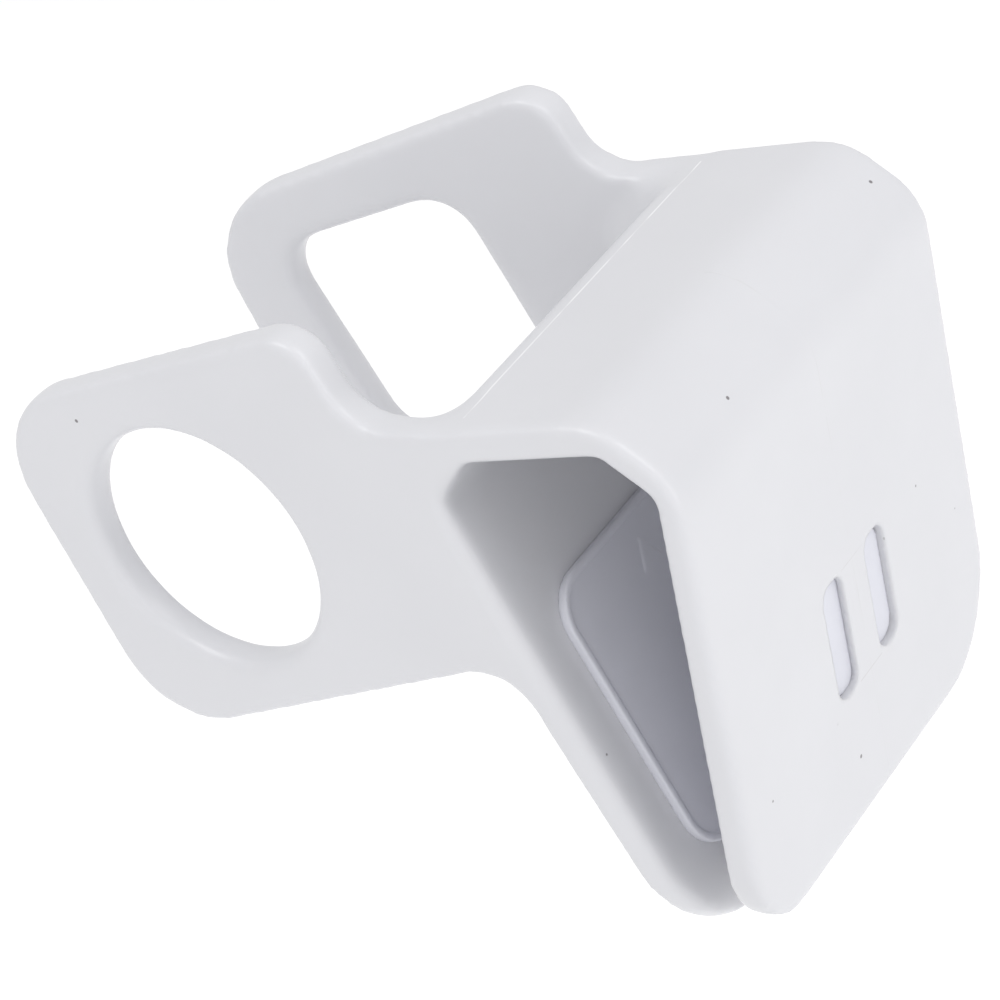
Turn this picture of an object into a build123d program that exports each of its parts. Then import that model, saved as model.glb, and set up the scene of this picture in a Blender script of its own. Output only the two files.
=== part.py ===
from build123d import *
import math
import os

# Clip-on holder for an apex locator: one moulded bracket with two grip pads.
# Row frame: X across the width, the arms reach out to +Y, the front plate faces -Y, +Z up.
# The origin is the middle of the clip seat, which is the flat underside of the top band.

# ---- driving dimensions, millimetres and degrees ----
WIDTH = 38.4            # overall width of the clip
HALF = WIDTH / 2

SEAT_TO_TOP = 2.6       # thickness of the top band
BAND_LENGTH = 12.1      # top band, back corner to front bend
BEND_RUN = 4.75         # forward run of the sloping front bend
BEND_DROP = 5.1         # its drop
BEND_WALL = 2.1
FRONT_RUN = 6.65        # how far the front plate leans back under the band
FRONT_DROP = 36.8       # its height
FRONT_WALL = 2.0        # at the bend
FRONT_GROWTH = 0.8      # degrees, the wall grows slowly towards the tip
BEVEL_ANGLE = 43.4      # slope of the bevel between band and back plate
BEVEL_WALL = 2.6
BACK_TIP_Y = 3.55       # tip of the back plate, forward of the band's back corner
BACK_TIP_DROP = 43.0
BACK_LEAN = 13.3        # degrees off the vertical
BACK_WALL = 3.25        # at the bevel
BACK_TAPER = 1.85       # degrees, the wall thins towards the tip
BACK_CORNER_R = 1.0
BEND_TOP_R = 5.3
BEND_FRONT_R = 5.1
CAVITY_R = 0.6
TIP_EDGE_R = 0.85       # round on the long edges of both tips
FRONT_CORNER_R = {-1: 6.5, 1: 8.9}      # lower corners of the front plate, on either side
BACK_TIP_CORNER_R = 8.1 # lower corners of the back plate

ARM_WALL = 3.0
ARM_TOE_IN = {-1: 4.5, 1: 5.6}          # degrees, each arm's free end leans towards the other
HINGE_RUN = 2.4         # half length of the gentle bend where the lean begins
ARM_TOP_BACK = (-41.4, 1.9)     # arm corners, from the band's back corner: forward, up
ARM_TOP_FRONT = (-9.1, 7.75)
ARM_LOW_BACK = (-37.2, -25.6)
ARM_LOW_RISE = 11.5     # degrees, slope of the arm's lower edge
ARM_NECK_DROP = 76.3    # degrees, slope from the peak down to the band
ARM_R_TOP_BACK = 7.4
ARM_R_PEAK = 3.2
ARM_R_NECK = 3.8
ARM_R_LOW_BACK = 6.8
ARM_R_ROOT = 3.9        # fillet under the arm's root

BORE_CENTRE = (-25.6, -9.4)
BORE_R = 9.5
SQUARE_HOLE = ((-35.8, -1.8), (-19.5, 0.6), (-15.8, -17.6), (-31.8, -19.9))
SQUARE_HOLE_R = 3.6

HOLE_RIM_R = 0.9        # round on the rims of both holes

WINDOW_X = 0.5          # square window in the front plate, centre
WINDOW_W = 9.6
WINDOW_H = 9.2
WINDOW_TOP = 18.0       # below the front bend, along the plate
WINDOW_R = 1.5
BAR_W = 3.5             # bar down the middle of the window
BAR_T = 0.6
SLOT_R = 1.2            # corners of the two slots beside the bar

PAD_TOP = 10.2          # rear pad: below the bevel, along the back plate
PAD_W = 30.0
PAD_H = 22.1
PAD_R = 3.2
PAD_T = 0.5
PAD_RIM_W = 0.45        # raised rim round both pads
PAD_RIM_T = 0.15
MARK_X = -4.6           # small moulded triangle on the rear pad
MARK_W = 2.4
MARK_H = 2.2
MARK_DROP = 2.1
MARK_T = 0.12

FRONT_PAD_TOP = 11.6    # front pad: below the front bend, along the plate
LUG_GAP = 0.03          # the lug stays this far behind the bar
LUG_SIDE_GAP = 0.02     # and this far from the window's walls

STOCK = 40.0            # larger than half the part, for blanks and cutters


# ---- small 2-D helpers; a point is (forward, up) from the band's back corner ----
def heading(degrees):
    a = math.radians(degrees)
    return (math.cos(a), math.sin(a))


def add(p, d, s):
    return (p[0] + d[0] * s, p[1] + d[1] * s)


def left_of(d):
    return (-d[1], d[0])


def right_of(d):
    return (d[1], -d[0])


def between(p, q):
    length = math.hypot(q[0] - p[0], q[1] - p[1])
    return ((q[0] - p[0]) / length, (q[1] - p[1]) / length)


def turned(d, degrees):
    a = math.radians(degrees)
    return (d[0] * math.cos(a) - d[1] * math.sin(a), d[0] * math.sin(a) + d[1] * math.cos(a))


def crossing(p, d, q, e):
    det = d[0] * (-e[1]) + e[0] * d[1]
    s = ((q[0] - p[0]) * (-e[1]) + e[0] * (q[1] - p[1])) / det
    return add(p, d, s)


# ---- corner points of the clip's profile ----
K = (0.0, 0.0)
C1 = (BAND_LENGTH, 0.0)
C2 = (BAND_LENGTH + BEND_RUN, -BEND_DROP)
FRONT_TIP = (C2[0] - FRONT_RUN, C2[1] - FRONT_DROP)
BACK_TIP = (BACK_TIP_Y, -BACK_TIP_DROP)
ALONG = (1.0, 0.0)
BACK_UP = heading(90 + BACK_LEAN)
BEVEL_DOWN = heading(180 + BEVEL_ANGLE)
BEVEL_FOOT = crossing(BACK_TIP, BACK_UP, K, BEVEL_DOWN)
BEND_DOWN = between(C1, C2)
FRONT_DOWN = between(C2, FRONT_TIP)
FRONT_UP = (-FRONT_DOWN[0], -FRONT_DOWN[1])
FRONT_DOWN_IN = turned(FRONT_DOWN, -FRONT_GROWTH)
BACK_UP_IN = turned(BACK_UP, -BACK_TAPER)

BAND_IN = (0.0, -SEAT_TO_TOP)
BEVEL_IN = add(K, left_of(BEVEL_DOWN), BEVEL_WALL)
BEND_IN = add(C1, right_of(BEND_DOWN), BEND_WALL)
FRONT_IN = add(C2, right_of(FRONT_DOWN), FRONT_WALL)
BACK_IN = add(BEVEL_FOOT, right_of(BACK_UP), BACK_WALL)

SEAT_BACK = crossing(BAND_IN, ALONG, BEVEL_IN, BEVEL_DOWN)
SEAT_FRONT = crossing(BAND_IN, ALONG, BEND_IN, BEND_DOWN)
BEND_FOOT_IN = crossing(BEND_IN, BEND_DOWN, FRONT_IN, FRONT_DOWN_IN)
BEVEL_FOOT_IN = crossing(BEVEL_IN, BEVEL_DOWN, BACK_IN, BACK_UP_IN)
FRONT_TIP_IN = crossing(FRONT_IN, FRONT_DOWN_IN, FRONT_TIP, right_of(FRONT_DOWN))
BACK_TIP_IN = crossing(BACK_IN, BACK_UP_IN, BACK_TIP, right_of(BACK_UP))

SEAT_MID = (SEAT_BACK[0] + SEAT_FRONT[0]) / 2


def row(p, x=0.0):
    """A profile point as a point of the row frame."""
    return Vector(x, SEAT_MID - p[0], p[1] + SEAT_TO_TOP)


def rounded_face(corners, place):
    """Flat face from (point, radius) corners; place turns a 2-D point into a row point."""
    pts = []
    for i in range(len(corners)):
        p, r = corners[i]
        if r <= 0:
            pts.append((p, p, None))
            continue
        before = corners[i - 1][0]
        after = corners[(i + 1) % len(corners)][0]
        d1 = between(p, before)
        d2 = between(p, after)
        half = math.acos(max(-1.0, min(1.0, d1[0] * d2[0] + d1[1] * d2[1]))) / 2
        run = r / math.tan(half)
        mid = between((0, 0), (d1[0] + d2[0], d1[1] + d2[1]))
        centre = add(p, mid, r / math.sin(half))
        apex = add(centre, mid, -r)
        pts.append((add(p, d1, run), add(p, d2, run), apex))
    edges = []
    for i in range(len(pts)):
        start, end, apex = pts[i]
        following = pts[(i + 1) % len(pts)][0]
        if apex is not None:
            edges.append(ThreePointArc(place(start), place(apex), place(end)))
        edges.append(Line(place(end), place(following)))
    return Face(Wire(edges))


def extruded_across(corners, x0=-STOCK, x1=STOCK):
    """A profile outline extruded along X."""
    face = rounded_face(corners, lambda p: row(p, x0))
    return Solid.extrude(face, Vector(x1 - x0, 0, 0))


def extruded_up(corners):
    """A plan outline of (x, forward) corners extruded along Z."""
    face = rounded_face(corners, lambda p: Vector(p[0], SEAT_MID - p[1], -STOCK * 2))
    return Solid.extrude(face, Vector(0, 0, STOCK * 4))


def side_line(side, inset):
    """Corners of one side face in plan, front to back, moved inwards by inset."""
    lean = math.radians(ARM_TOE_IN[side])
    x_front = side * (HALF - inset)
    hinge = inset * math.tan(lean / 2)
    reach = STOCK * 2
    back = (x_front - side * math.sin(lean) * reach, -hinge - math.cos(lean) * reach)
    radius = HINGE_RUN / math.tan(lean / 2) - inset
    return [((x_front, reach), 0), ((x_front, -hinge), radius), (back, 0)]


def plan_envelope():
    """Everything between the two side faces."""
    return extruded_up(side_line(-1, 0) + side_line(1, 0)[::-1])


def plan_strip(side):
    """The layer that an arm lies in."""
    return extruded_up(side_line(side, 0) + side_line(side, ARM_WALL)[::-1])


def clip_shell():
    corners = [
        (FRONT_TIP, TIP_EDGE_R),
        (C2, BEND_FRONT_R),
        (C1, BEND_TOP_R),
        (K, BACK_CORNER_R),
        (BEVEL_FOOT, 2.0),
        (BACK_TIP, TIP_EDGE_R),
        (BACK_TIP_IN, TIP_EDGE_R),
        (BEVEL_FOOT_IN, CAVITY_R),
        (SEAT_BACK, CAVITY_R),
        (SEAT_FRONT, CAVITY_R),
        (BEND_FOOT_IN, CAVITY_R),
        (FRONT_TIP_IN, TIP_EDGE_R),
    ]
    return extruded_across(corners)


def plate_corner_cut(tip, up, side, r, lo, hi):
    """What is removed to round one lower corner of a plate, between two depths of its wall."""
    out = right_of(up)
    corner = row(add(tip, out, lo), side * HALF)
    up3 = Vector(0, -up[0], up[1])
    in3 = Vector(-side, 0, 0)
    out3 = Vector(0, -out[0], out[1])
    edge_up = corner + up3 * r
    edge_in = corner + in3 * r
    bulge = corner + (up3 + in3) * (r - r / math.sqrt(2))
    far = corner - up3 * 3 - in3 * 3
    far_up = corner + up3 * r - in3 * 3
    far_in = corner + in3 * r - up3 * 3
    edges = [
        Line(edge_in, far_in),
        Line(far_in, far),
        Line(far, far_up),
        Line(far_up, edge_up),
        ThreePointArc(edge_up, bulge, edge_in),
    ]
    return Solid.extrude(Face(Wire(edges)), out3 * (hi - lo))


def arm_outline():
    neck = crossing(K, ALONG, ARM_TOP_FRONT, heading(-ARM_NECK_DROP))
    root = crossing(ARM_LOW_BACK, heading(ARM_LOW_RISE), BACK_TIP, BACK_UP)
    return [
        (neck, ARM_R_NECK),
        (ARM_TOP_FRONT, ARM_R_PEAK),
        (ARM_TOP_BACK, ARM_R_TOP_BACK),
        (ARM_LOW_BACK, ARM_R_LOW_BACK),
        (root, ARM_R_ROOT),
        (add(root, BACK_UP, -9.0), 0),
        (add(add(root, BACK_UP, -9.0), ALONG, 1.2), 0),
        (add(BEVEL_FOOT, ALONG, 1.6), 0),
        (add(K, (0.6, -1.3), 1.0), 0),
        (add(K, ALONG, 2.6), 0),
    ]


def arm(side):
    return extruded_across(arm_outline()) & plan_strip(side)


def leaned(solid, side):
    """Turns a cutter to the lean of an arm, about the hinge line of its side face."""
    axis = Axis(row(K, side * HALF), (0, 0, 1))
    return solid.rotate(axis, side * ARM_TOE_IN[side])


def bore_cut():
    centre = row(BORE_CENTRE, -HALF - 6)
    cut = Solid.make_cylinder(BORE_R, ARM_WALL + 12, Plane(origin=centre, z_dir=(1, 0, 0)))
    return leaned(cut, -1)


def square_cut():
    corners = [(p, SQUARE_HOLE_R) for p in SQUARE_HOLE]
    cut = extruded_across(corners, HALF - ARM_WALL - 6, HALF + 6)
    return leaned(cut, 1)


def front_frame():
    """Plane on the outside of the front plate: x across, y up the plate, z outwards."""
    up3 = Vector(0, FRONT_DOWN[0], -FRONT_DOWN[1])
    out3 = Vector(1, 0, 0).cross(up3)
    return Plane(origin=row(C2), x_dir=(1, 0, 0), z_dir=out3)


def back_frame():
    """Plane on the inside of the back plate: x across, y up the plate, z into the cavity."""
    up3 = Vector(0, -BACK_UP_IN[0], BACK_UP_IN[1])
    out3 = Vector(1, 0, 0).cross(up3)
    return Plane(origin=row(BEVEL_FOOT_IN), x_dir=(1, 0, 0), z_dir=out3)


def inward_from_front():
    """Normal of the front plate's inner face, pointing into the cavity."""
    d = right_of(FRONT_DOWN_IN)
    return Vector(0, -d[0], d[1])


def inner_half(plane):
    """Everything on the cavity side of a pad, to trim what would stand proud of it."""
    return extrude(plane.offset(PAD_T / 2) * Rectangle(STOCK * 2, STOCK * 2), amount=STOCK)


def slab(plane, x, y, w, h, r, z0, z1):
    """Rounded rectangular block on a plane, centred on x, its top edge at y."""
    centre = plane.from_local_coords((x, y - h / 2, z0))
    base = Plane(origin=centre, x_dir=plane.x_dir, z_dir=plane.z_dir)
    face = base * RectangleRounded(w, h, r)
    return extrude(face, amount=z1 - z0)


def window_cut():
    """A window from the inside, which opens outwards as one slot on each side of the bar."""
    plane = front_frame()
    cut = slab(plane, WINDOW_X, -WINDOW_TOP, WINDOW_W, WINDOW_H, WINDOW_R, -5.0, -BAR_T)
    slot_w = (WINDOW_W - BAR_W) / 2
    for side in (-1, 1):
        x = WINDOW_X + side * (BAR_W + slot_w) / 2
        cut = cut + slab(plane, x, -WINDOW_TOP, slot_w, WINDOW_H, SLOT_R, -BAR_T - 0.5, 2.0)
    return cut


def is_hole_rim(edge):
    """True for the edges where a hole of an arm meets the arm's two faces."""
    c = edge.center()
    forward = SEAT_MID - c.Y
    up = c.Z - SEAT_TO_TOP
    near_bore = c.X < 0 and math.hypot(forward - BORE_CENTRE[0], up - BORE_CENTRE[1]) < BORE_R + 1
    lo = min(p[0] for p in SQUARE_HOLE)
    hi = max(p[0] for p in SQUARE_HOLE)
    near_square = c.X > 0 and lo - 1 < forward < hi + 1 and -20.4 < up < 1.4
    return near_bore or near_square


def bracket():
    body = clip_shell() & plan_envelope()
    for side in (-1, 1):
        front_r = FRONT_CORNER_R[side]
        body = body - plate_corner_cut(FRONT_TIP, FRONT_UP, side, front_r, -FRONT_WALL - 1.4, 1.5)
        back_r = BACK_TIP_CORNER_R
        body = body - plate_corner_cut(BACK_TIP, BACK_UP, side, back_r, -1.5, BACK_WALL - 0.4)
    for side in (-1, 1):
        body = body + arm(side)
    body = body - bore_cut() - square_cut()
    rims = [e for e in body.edges() if is_hole_rim(e) and abs(e.tangent_at(0.5).X) < 0.3]
    body = body.fillet(HOLE_RIM_R, rims)
    return body - window_cut()


def rimmed_pad(plane, x, top, w, h):
    """Thin pad on a plate's inner face, with a raised rim."""
    pad = slab(plane, x, -top, w, h, PAD_R, 0.0, PAD_T + PAD_RIM_T)
    inner_w = w - 2 * PAD_RIM_W
    inner_h = h - 2 * PAD_RIM_W
    hollow = slab(plane, x, -top - PAD_RIM_W, inner_w, inner_h, PAD_R - PAD_RIM_W, PAD_T, PAD_T + 1)
    return pad - hollow


def rear_grip_pad():
    plane = back_frame()
    pad = rimmed_pad(plane, 0.0, PAD_TOP, PAD_W, PAD_H)
    apex = plane.from_local_coords((MARK_X, -PAD_TOP - MARK_DROP, PAD_T))
    foot_l = plane.from_local_coords((MARK_X - MARK_W / 2, -PAD_TOP - MARK_DROP - MARK_H, PAD_T))
    foot_r = plane.from_local_coords((MARK_X + MARK_W / 2, -PAD_TOP - MARK_DROP - MARK_H, PAD_T))
    outline = Wire([Line(apex, foot_l), Line(foot_l, foot_r), Line(foot_r, apex)])
    return pad + Solid.extrude(Face(outline), plane.z_dir * MARK_T)


def front_grip_pad():
    outside = front_frame()
    inside = Plane(origin=row(BEND_FOOT_IN), x_dir=(-1, 0, 0), z_dir=inward_from_front())
    pad = rimmed_pad(inside, 0.0, FRONT_PAD_TOP, PAD_W, PAD_H)
    w = WINDOW_W - 2 * LUG_SIDE_GAP
    h = WINDOW_H - 2 * LUG_SIDE_GAP
    top = -WINDOW_TOP - LUG_SIDE_GAP
    lug = slab(outside, WINDOW_X, top, w, h, WINDOW_R, -FRONT_WALL - 2.0, -BAR_T - LUG_GAP)
    return pad + (lug - inner_half(inside))


os.makedirs("parts", exist_ok=True)
export_step(bracket(), "parts/bracket.step")
export_step(rear_grip_pad(), "parts/rear_grip_pad.step")
export_step(front_grip_pad(), "parts/front_grip_pad.step")
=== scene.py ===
import bpy
import numpy as np
from mathutils import Matrix, Vector
from mathutils.bvhtree import BVHTree
from mathutils.kdtree import KDTree


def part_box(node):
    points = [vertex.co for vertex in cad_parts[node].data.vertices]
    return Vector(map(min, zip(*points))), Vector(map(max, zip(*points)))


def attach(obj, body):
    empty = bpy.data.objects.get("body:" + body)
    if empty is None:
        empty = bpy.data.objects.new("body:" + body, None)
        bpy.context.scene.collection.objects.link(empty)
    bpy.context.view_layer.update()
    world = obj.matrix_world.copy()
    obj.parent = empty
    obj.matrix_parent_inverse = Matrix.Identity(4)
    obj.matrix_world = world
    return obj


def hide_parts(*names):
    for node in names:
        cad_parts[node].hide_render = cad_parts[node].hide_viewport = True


# Looks of a white moulded clip-on holder with two grip pads. Metres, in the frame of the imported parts.
# +X runs across the width, the arms reach out to +Y, +Z is up, the origin is the middle of the clip seat.

MM = 0.001

# ---- how finely each piece is meshed ----
BRACKET_DEPTH = 8               # octree depth of the even mesh, about 0.25 mm
PAD_DEPTH = 8                   # about 0.12 mm
REMESH_SCALE = 0.9              # share of the octree that a piece fills

# ---- how much the edges are rounded ----
PULL = 0.5                      # share of the way a point moves towards its neighbours in one round
RIM_SPREAD = 0.62 * MM          # every rim of the bracket
FINE_SPREAD = 0.12 * MM         # the window's edges stay crisp
PAD_SPREAD = 0.08 * MM          # the pads' edges
PAD_SWELL = 0.06 * MM           # closes the hairline gap round the lug
WINDOW_REACH = 10 * MM          # walls closer than this face each other across a window slot
RAY_START = 0.02 * MM           # how far in front of a wall the search for the facing wall starts
CRISP_TO = 0.4 * MM             # distance from the slots' walls where their crisp edges end
ROUND_FROM = 1.2 * MM           # and where the fully rounded rims begin

# ---- which edges get rounding of their own ----
SIDEWAYS = 0.9                  # a face with this much X in its normal looks sideways
LENGTHWISE = 0.5                # a face with this much Y in its normal looks forward or back
SHARP_BELOW = 0.7               # faces whose normals agree less than this meet in a sharp edge
HOLLOW_FROM = 0.001 * MM        # a neighbour this far in front of a face makes their edge a hollow one
EDGE_STEP = 0.5 * MM            # spacing of the points that stand for an edge
CROOK_FILL = 0.63 * MM          # hollow corners between arms and clip: first filled, along X and along Y
CROOK_SPREAD = 1.5 * MM         # then smoothed
CROOK_REACH = 3.2 * MM
CROOK_Y = 5.5 * MM              # they lie behind this
MOUTH_SPREAD = 0.7 * MM         # inner rims of the back plate, at the sides of the clip
MOUTH_REACH = 2.2 * MM
MOUTH_Y = -1.0 * MM             # they lie behind this
MOUTH_Z = -2.0 * MM             # and under this

# ---- fine moulding marks, the flash with a painted highlight ----
MARK_FADE = 0.1 * MM            # half the length over which a mark fades at its ends
FLASH_LINE_Y = 5.15 * MM        # parting flash along the band's back corner: a real ridge, painted lighter as a painted highlight
FLASH_HALF = 17.2 * MM          # it ends at the arms
BAND_LEVEL = 2.2 * MM           # it shows on the band's top only
SEAM_X = 0.5 * MM               # faint seam down the front plate
FRONT_LEVEL = -4.0 * MM         # the seam shows on the outside only, in front of this
BAR_HALF = 1.75 * MM            # half the width of the window's bar
INSERT_TOP_Z = -20.25 * MM      # faint lines across the bar, at its top and its foot
INSERT_FOOT_Z = -29.3 * MM

# ---- camera ----
CAMERA_AT = Vector((-205.33, -154.99, 110.14)) * MM
CAMERA_LOOK = Vector((0.69192, 0.58804, -0.41887))
CAMERA_UP = Vector((0.53931, -0.03528, 0.84137))
LENS_MM = 149.9

# ---- studio ----
FLOOR_DROP = 0.14               # the floor lies this far under the holder
FLOOR_SIZE = 6.0
LIGHT_AIM = Vector((0, 0.015, -0.015))  # the middle of the holder


# ================= meshing =================
def edge_pairs(mesh):
    pairs = np.empty(len(mesh.edges) * 2, np.int32)
    mesh.edges.foreach_get("vertices", pairs)
    return pairs.reshape(-1, 2)


def smoothed(points, pairs, weights, spread):
    """Moves each point towards its neighbours until edges are rounded by about the spread.

    A weight of 0 holds a point where it is.
    """
    a, b = pairs[(weights[pairs] > 0).any(axis=1)].T
    step = float(np.median(np.linalg.norm(points[a] - points[b], axis=1)))
    count = len(points)
    neighbours = np.bincount(a, minlength=count) + np.bincount(b, minlength=count)
    neighbours = np.maximum(neighbours, 1)
    rounds = max(1, int(round((spread / step) ** 2 / (PULL / 2))))
    pull = PULL * weights[:, None]
    for _ in range(rounds):
        total = np.empty_like(points)
        for k in range(3):
            total[:, k] = np.bincount(a, points[b, k], count)
            total[:, k] += np.bincount(b, points[a, k], count)
        points = points + pull * (total / neighbours[:, None] - points)
    return points


def remeshed(node, depth):
    """A new object with an even mesh of a CAD node's shape."""
    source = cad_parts[node]
    piece = bpy.data.objects.new(node + "_moulded", source.data.copy())
    bpy.context.scene.collection.objects.link(piece)
    piece.data.materials.clear()
    remesh = piece.modifiers.new("even", "REMESH")
    remesh.mode = "SHARP"
    remesh.octree_depth = depth
    remesh.scale = REMESH_SCALE
    remesh.use_remove_disconnected = False
    remesh.use_smooth_shade = True
    graph = bpy.context.evaluated_depsgraph_get()
    mesh = bpy.data.meshes.new_from_object(piece.evaluated_get(graph))
    piece.modifiers.clear()
    piece.data = mesh
    return piece


def points_of(mesh):
    flat = np.empty(len(mesh.vertices) * 3, np.float32)
    mesh.vertices.foreach_get("co", flat)
    return flat.reshape(-1, 3).astype(float)


def put_points(mesh, points):
    mesh.vertices.foreach_set("co", points.astype(np.float32).ravel())
    mesh.update()
    for polygon in mesh.polygons:
        polygon.use_smooth = True


def eased(t):
    """Clips to 0..1 with a smooth start and end."""
    t = np.clip(t, 0, 1)
    return t * t * (3 - 2 * t)


def slot_walls():
    """Search tree of the bracket's faces that look across the window's slots."""
    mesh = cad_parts["bracket"].data
    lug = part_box("front_grip_pad")
    corners = [v.co.copy() for v in mesh.vertices]
    whole = BVHTree.FromPolygons(corners, [tuple(p.vertices) for p in mesh.polygons])
    found = []
    for polygon in mesh.polygons:
        middle, normal = polygon.center, polygon.normal
        beside = abs(middle.x) > WINDOW_REACH or not lug[0].z < middle.z < lug[1].z
        if beside or middle.y > lug[1].y or abs(normal.y) > LENGTHWISE:
            continue
        hit = whole.ray_cast(middle + normal * RAY_START, normal, WINDOW_REACH)
        if hit[0] is not None:
            found.append(tuple(polygon.vertices))
    return BVHTree.FromPolygons(corners, found)


def rim_weights(points, walls):
    """0 at the slots' own walls, 1 away from them."""
    far = ROUND_FROM * 2
    found = [walls.find_nearest(Vector(p), far)[3] for p in points]
    away = np.array([far if distance is None else distance for distance in found])
    return eased((away - CRISP_TO) / (ROUND_FROM - CRISP_TO))


def faces_by_edge(mesh):
    """The faces beside each edge, keyed by the places of the edge's ends."""
    places = [tuple(round(c, 7) for c in v.co) for v in mesh.vertices]
    faces = {}
    for polygon in mesh.polygons:
        for i, j in polygon.edge_keys:
            ends = tuple(sorted((places[i], places[j])))
            faces.setdefault(ends, []).append(polygon)
    return faces


def beside_side_face(one, other):
    return max(abs(one.normal.x), abs(other.normal.x)) > SIDEWAYS


def in_crook(one, other, hollow, start, end):
    """True where an arm's inner face meets the back of the clip."""
    return beside_side_face(one, other) and hollow and min(start.y, end.y) > CROOK_Y


def in_mouth(one, other, hollow, start, end):
    """True where the back plate's inner face meets the sides of the clip."""
    inward = min(one.normal.y, other.normal.y) < -LENGTHWISE
    behind = min(start.y, end.y) > MOUTH_Y and max(start.z, end.z) < MOUTH_Z
    return beside_side_face(one, other) and inward and behind and not hollow


def edge_tree(mesh, wanted):
    """Search tree of closely set points along the mesh's sharp edges that are wanted."""
    places = []
    for (a, b), faces in faces_by_edge(mesh).items():
        if len(faces) != 2:
            continue
        one, other = faces
        start, end = Vector(a), Vector(b)
        hollow = one.normal.dot(other.center - one.center) > HOLLOW_FROM
        sharp = one.normal.dot(other.normal) < SHARP_BELOW
        if sharp and wanted(one, other, hollow, start, end):
            steps = max(1, int((end - start).length / EDGE_STEP))
            places += [start.lerp(end, k / steps) for k in range(steps + 1)]
    tree = KDTree(len(places))
    for index, place in enumerate(places):
        tree.insert(place, index)
    tree.balance()
    return tree


def nearness(points, tree, reach):
    """1 at a tree's points, fading to 0 at the reach."""
    away = np.array([tree.find(p)[2] for p in points])
    return eased(1 - away / reach)


def filled_crooks(points, crook):
    """Moves the hollow corners' points inwards from the arms and backwards from the clip."""
    moved = points.copy()
    moved[:, 0] -= CROOK_FILL * crook * np.sign(points[:, 0])
    moved[:, 1] += CROOK_FILL * crook
    return moved


def moulded_bracket():
    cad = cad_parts["bracket"].data
    piece = remeshed("bracket", BRACKET_DEPTH)
    points = points_of(piece.data)
    pairs = edge_pairs(piece.data)
    rims = rim_weights(points, slot_walls())
    points = smoothed(points, pairs, np.ones(len(points)), FINE_SPREAD)
    points = smoothed(points, pairs, rims, RIM_SPREAD)
    crook = nearness(points, edge_tree(cad, in_crook), CROOK_REACH)
    points = smoothed(filled_crooks(points, crook), pairs, crook, CROOK_SPREAD)
    mouth = nearness(points, edge_tree(cad, in_mouth), MOUTH_REACH)
    points = smoothed(points, pairs, mouth, MOUTH_SPREAD)
    put_points(piece.data, points)
    return piece


def moulded_pad(node):
    piece = remeshed(node, PAD_DEPTH)
    points = points_of(piece.data)
    points = smoothed(points, edge_pairs(piece.data), np.ones(len(points)), PAD_SPREAD)
    put_points(piece.data, points)
    normals = np.array([v.normal for v in piece.data.vertices])
    put_points(piece.data, points + normals * PAD_SWELL)
    return piece


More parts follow.
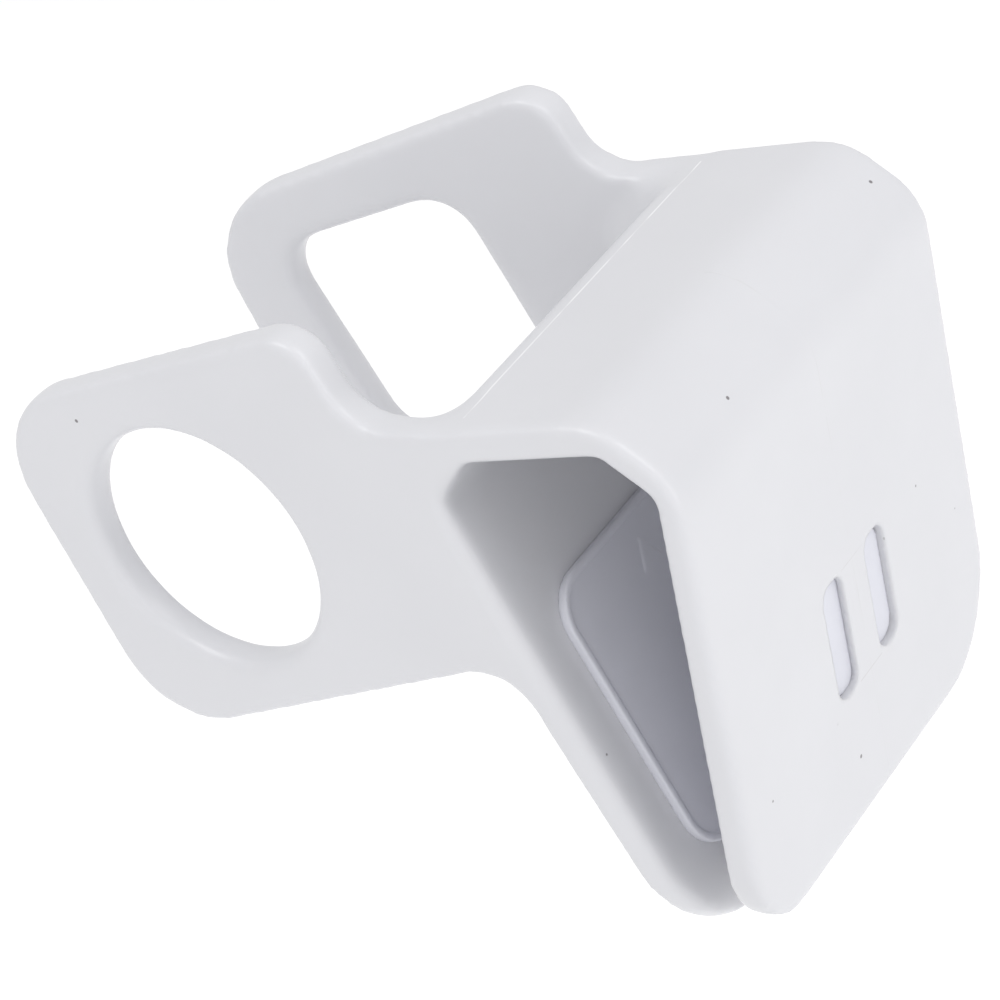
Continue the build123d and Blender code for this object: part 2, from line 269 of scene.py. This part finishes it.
# ================= materials =================
class Nodes:
    """Small helper that adds and links shader nodes."""

    def __init__(self, name):
        self.material = bpy.data.materials.new(name)
        self.material.use_nodes = True
        self.tree = self.material.node_tree
        self.shader = self.tree.nodes["Principled BSDF"]
        self.place = self.add("ShaderNodeTexCoord").outputs["Object"]

    def add(self, kind, **settings):
        node = self.tree.nodes.new(kind)
        for name, value in settings.items():
            setattr(node, name, value)
        return node

    def link(self, a, b):
        self.tree.links.new(a, b)

    def noise(self, scale, detail=2.0, roughness=0.5):
        node = self.add("ShaderNodeTexNoise")
        node.inputs["Scale"].default_value = scale
        node.inputs["Detail"].default_value = detail
        node.inputs["Roughness"].default_value = roughness
        self.link(self.place, node.inputs["Vector"])
        return node.outputs["Fac"]

    def remap(self, value, low, high, out_low, out_high):
        node = self.add("ShaderNodeMapRange", interpolation_type="SMOOTHSTEP")
        node.inputs["From Min"].default_value = low
        node.inputs["From Max"].default_value = high
        node.inputs["To Min"].default_value = out_low
        node.inputs["To Max"].default_value = out_high
        self.link(value, node.inputs["Value"])
        return node.outputs["Result"]

    def mix(self, factor, a, b):
        node = self.add("ShaderNodeMix", data_type="RGBA")
        self.link(factor, node.inputs["Factor"])
        for socket, value in ((node.inputs[6], a), (node.inputs[7], b)):
            if isinstance(value, tuple):
                socket.default_value = value
            else:
                self.link(value, socket)
        return node.outputs[2]

    def multiply(self, a, b):
        node = self.add("ShaderNodeMath", operation="MULTIPLY")
        self.link(a, node.inputs[0])
        self.link(b, node.inputs[1])
        return node.outputs[0]

    def axis(self, index):
        node = self.add("ShaderNodeSeparateXYZ")
        self.link(self.place, node.inputs[0])
        return node.outputs[index]

    def line(self, index, at, width, limits):
        """1 along a thin line where one coordinate has a value, 0 elsewhere.

        Each limit is (axis, value, side): the line is kept above the value for +1, below it for -1.
        """
        offset = self.add("ShaderNodeMath", operation="SUBTRACT")
        self.link(self.axis(index), offset.inputs[0])
        offset.inputs[1].default_value = at
        size = self.add("ShaderNodeMath", operation="ABSOLUTE")
        self.link(offset.outputs[0], size.inputs[0])
        mark = self.remap(size.outputs[0], 0, width, 1, 0)
        broken = self.remap(self.noise(350, 2), 0.35, 0.6, 0.25, 1)
        mark = self.multiply(mark, broken)
        for axis, edge, side in limits:
            below, above = (0, 1) if side > 0 else (1, 0)
            kept = self.remap(self.axis(axis), edge - MARK_FADE, edge + MARK_FADE, below, above)
            mark = self.multiply(mark, kept)
        return mark

    def specks(self, density, core, rim):
        """Sparse tiny dots of dirt."""
        cells = self.add("ShaderNodeTexVoronoi", feature="F1")
        cells.inputs["Scale"].default_value = density
        self.link(self.place, cells.inputs["Vector"])
        dots = self.remap(cells.outputs["Distance"], core, rim, 1, 0)
        return self.multiply(dots, self.remap(self.noise(90, 0), 0.5, 0.55, 0, 1))

    def bump(self, height, strength, distance, after=None):
        node = self.add("ShaderNodeBump")
        node.inputs["Strength"].default_value = strength
        node.inputs["Distance"].default_value = distance
        self.link(height, node.inputs["Height"])
        if after is not None:
            self.link(after, node.inputs["Normal"])
        return node.outputs["Normal"]


def insert_span():
    """Where the window's insert shows across the bar, on the front plate's outside."""
    return [(0, SEAM_X - BAR_HALF, 1), (0, SEAM_X + BAR_HALF, -1), (1, FRONT_LEVEL, -1)]


def white_plastic():
    n = Nodes("white_plastic")
    clouds = n.remap(n.noise(60, 3), 0.3, 0.7, 0, 1)
    tone = n.mix(clouds, (0.595, 0.597, 0.623, 1), (0.61, 0.612, 0.638, 1))
    tone = n.mix(n.specks(260, 0.032, 0.046), tone, (0.2, 0.19, 0.2, 1))
    n.link(n.remap(n.noise(300, 3), 0.3, 0.7, 0.3, 0.37), n.shader.inputs["Roughness"])
    flash_span = [(2, BAND_LEVEL, 1), (0, -FLASH_HALF, 1), (0, FLASH_HALF, -1)]
    flash_ridge_and_highlight = n.line(1, FLASH_LINE_Y, 0.12 * MM, flash_span)
    seam = n.line(0, SEAM_X, 0.06 * MM, [(1, FRONT_LEVEL, -1)])
    insert_top = n.line(2, INSERT_TOP_Z, 0.06 * MM, insert_span())
    insert_foot = n.line(2, INSERT_FOOT_Z, 0.06 * MM, insert_span())
    # painted highlight: the parting flash is painted lighter than the plastic where its ridge catches the
    # light; its ridge itself is the real bump below
    tone = n.mix(flash_ridge_and_highlight, tone, (0.8, 0.8, 0.82, 1))
    for witness in (insert_top, insert_foot):
        tone = n.mix(witness, tone, (0.5, 0.49, 0.5, 1))
    tone = n.mix(n.multiply(seam, seam), tone, (0.56, 0.56, 0.57, 1))
    n.link(tone, n.shader.inputs["Base Color"])
    relief = n.bump(flash_ridge_and_highlight, 0.3, 0.03 * MM)
    relief = n.bump(seam, 0.3, 0.03 * MM, relief)
    relief = n.bump(n.noise(160, 1), 0.08, 0.05 * MM, relief)
    n.link(relief, n.shader.inputs["Normal"])
    n.shader.inputs["Specular IOR Level"].default_value = 0.5
    n.shader.inputs["Subsurface Weight"].default_value = 0.08
    n.shader.inputs["Subsurface Radius"].default_value = (1.0, 0.95, 0.9)
    n.shader.inputs["Subsurface Scale"].default_value = 0.6 * MM
    return n.material


def grip_rubber():
    n = Nodes("grip_rubber")
    clouds = n.remap(n.noise(140, 3), 0.3, 0.7, 0, 1)
    tone = n.mix(clouds, (0.61, 0.615, 0.67, 1), (0.63, 0.635, 0.69, 1))
    n.link(tone, n.shader.inputs["Base Color"])
    n.link(n.remap(n.noise(500, 3), 0.3, 0.7, 0.48, 0.6), n.shader.inputs["Roughness"])
    n.link(n.bump(n.noise(2500, 3), 0.15, 0.02 * MM), n.shader.inputs["Normal"])
    n.shader.inputs["Specular IOR Level"].default_value = 0.4
    return n.material


def floor_paper():
    n = Nodes("floor_paper")
    clouds = n.remap(n.noise(3, 2), 0.3, 0.7, 0, 1)
    tone = n.mix(clouds, (0.93, 0.93, 0.93, 1), (0.95, 0.95, 0.95, 1))
    n.link(tone, n.shader.inputs["Base Color"])
    n.shader.inputs["Roughness"].default_value = 0.9
    n.shader.inputs["Emission Color"].default_value = (1, 1, 1, 1)
    n.shader.inputs["Emission Strength"].default_value = 0.15
    return n.material


# ================= studio =================
def add_floor(lowest):
    mesh = bpy.data.meshes.new("floor")
    half = FLOOR_SIZE / 2
    level = lowest - FLOOR_DROP
    corners = [(-half, -half, level), (half, -half, level), (half, half, level), (-half, half, level)]
    mesh.from_pydata(corners, [], [(0, 1, 2, 3)])
    floor = bpy.data.objects.new("floor", mesh)
    bpy.context.scene.collection.objects.link(floor)
    mesh.materials.append(floor_paper())


def add_softbox(name, place, size, power):
    light = bpy.data.lights.new(name, "AREA")
    light.shape = "SQUARE"
    light.size = size
    light.energy = power
    lamp = bpy.data.objects.new(name, light)
    lamp.location = place
    lamp.rotation_euler = (LIGHT_AIM - Vector(place)).to_track_quat("-Z", "Y").to_euler()
    bpy.context.scene.collection.objects.link(lamp)


def add_world(brightness):
    world = bpy.data.worlds.new("studio")
    world.use_nodes = True
    background = world.node_tree.nodes["Background"]
    background.inputs["Color"].default_value = (1, 1, 1, 1)
    background.inputs["Strength"].default_value = brightness
    bpy.context.scene.world = world


def add_camera():
    data = bpy.data.cameras.new("camera")
    data.sensor_width = 36
    data.lens = LENS_MM
    data.clip_start = 0.01
    camera = bpy.data.objects.new("camera", data)
    back = -CAMERA_LOOK.normalized()
    right = CAMERA_UP.cross(back).normalized()
    up = back.cross(right)
    turn = Matrix((right, up, back)).transposed()
    camera.matrix_world = Matrix.Translation(CAMERA_AT) @ turn.to_4x4()
    bpy.context.scene.collection.objects.link(camera)
    bpy.context.scene.camera = camera


# ================= the scene =================
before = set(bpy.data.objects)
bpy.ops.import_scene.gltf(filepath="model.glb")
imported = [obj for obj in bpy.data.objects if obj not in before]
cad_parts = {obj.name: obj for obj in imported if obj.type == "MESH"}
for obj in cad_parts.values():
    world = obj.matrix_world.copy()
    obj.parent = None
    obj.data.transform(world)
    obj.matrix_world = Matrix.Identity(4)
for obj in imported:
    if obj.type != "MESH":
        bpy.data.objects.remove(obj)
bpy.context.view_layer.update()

plastic = white_plastic()
rubber = grip_rubber()

bracket = moulded_bracket()
bracket.data.materials.append(plastic)
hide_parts("bracket")
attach(bracket, "root")

for node in ("rear_grip_pad", "front_grip_pad"):
    pad = moulded_pad(node)
    pad.data.materials.append(rubber)
    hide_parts(node)
    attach(pad, "root")

add_floor(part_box("bracket")[0].z)
add_world(0.82)
add_softbox("top_light", (-0.4, 0.1, 0.68), 0.4, 1.8)
add_softbox("bend_light", (0.0, -0.6, 0.6), 0.4, 1.4)
add_softbox("front_light", (0.0, -0.8, -0.02), 0.5, 1.1)
add_softbox("side_light", (-0.68, -0.42, 0.1), 0.5, 0.35)
add_camera()
bpy.context.scene.view_settings.view_transform = "Standard"
